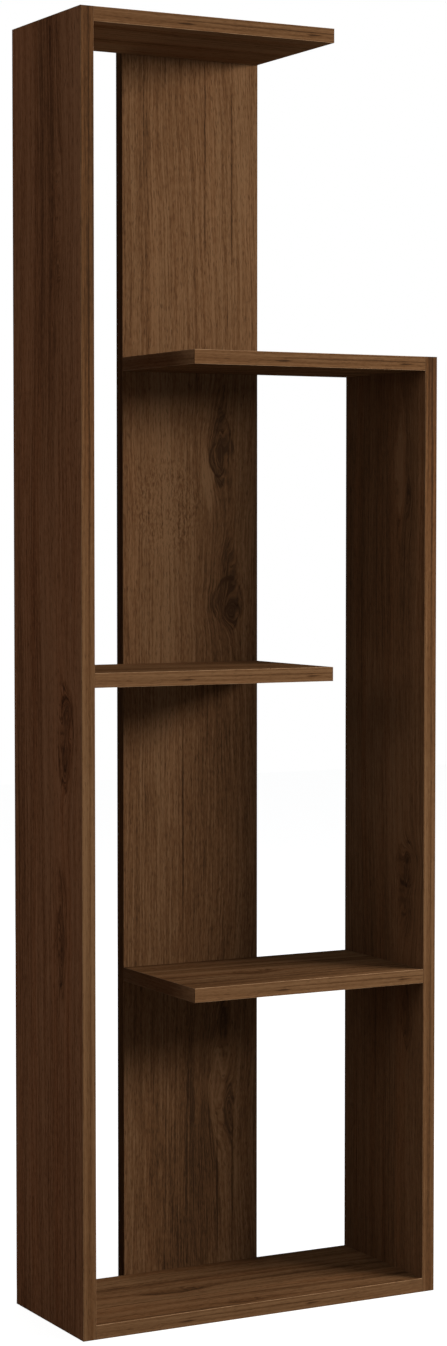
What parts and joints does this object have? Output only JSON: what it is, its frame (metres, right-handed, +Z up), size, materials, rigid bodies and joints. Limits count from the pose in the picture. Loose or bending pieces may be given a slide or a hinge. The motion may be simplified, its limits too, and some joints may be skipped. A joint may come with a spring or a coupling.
{
  "type": "zigzag bookshelf",
  "caption": "Tall open bookshelf in dark walnut-look board, with staggered shelves hung in turn from a tall side and a shorter side, and a narrow spine board behind them.",
  "frame": {"origin": "on the floor, under the centre of the outline", "axes": "+Z up, +X to the right as seen from the front, +Y to the back"},
  "size_m": [0.51, 0.218, 1.63],
  "materials": {
    "walnut_board": "matte",
    "walnut_band": "matt walnut print",
    "cast_zinc": "satin",
    "plated_steel": "bright zinc plate",
    "beech": "fluted, unfinished"
  },
  "bodies": {
    "root": {"bottom_shelf": "walnut_board", "bottom_shelf_front_band": "walnut_band", "bottom_shelf_rear_band": "walnut_band", "cam_bolts": "plated_steel", "cam_locks": "cast_zinc", "dowels": "beech", "left_side": "walnut_board", "left_side_bottom_band": "walnut_band", "left_side_front_band": "walnut_band", "left_side_rear_band": "walnut_band", "left_side_top_band": "walnut_band", "lower_right_shelf": "walnut_board", "lower_right_shelf_end_band": "walnut_band", "lower_right_shelf_front_band": "walnut_band", "lower_right_shelf_rear_band": "walnut_band", "middle_left_shelf": "walnut_board", "middle_left_shelf_end_band": "walnut_band", "middle_left_shelf_front_band": "walnut_band", "middle_left_shelf_rear_band": "walnut_band", "right_side": "walnut_board", "right_side_bottom_band": "walnut_band", "right_side_front_band": "walnut_band", "right_side_rear_band": "walnut_band", "right_side_top_band": "walnut_band", "spine": "walnut_board", "spine_bottom_band": "walnut_band", "spine_left_band": "walnut_band", "spine_right_band": "walnut_band", "spine_screws": "plated_steel", "spine_top_band": "walnut_band", "top_shelf": "walnut_board", "top_shelf_end_band": "walnut_band", "top_shelf_front_band": "walnut_band", "top_shelf_rear_band": "walnut_band", "upper_right_shelf": "walnut_board", "upper_right_shelf_end_band": "walnut_band", "upper_right_shelf_front_band": "walnut_band", "upper_right_shelf_rear_band": "walnut_band", "wall_bracket": "plated_steel", "wall_bracket_screws": "plated_steel"}
  },
  "joints": []
}
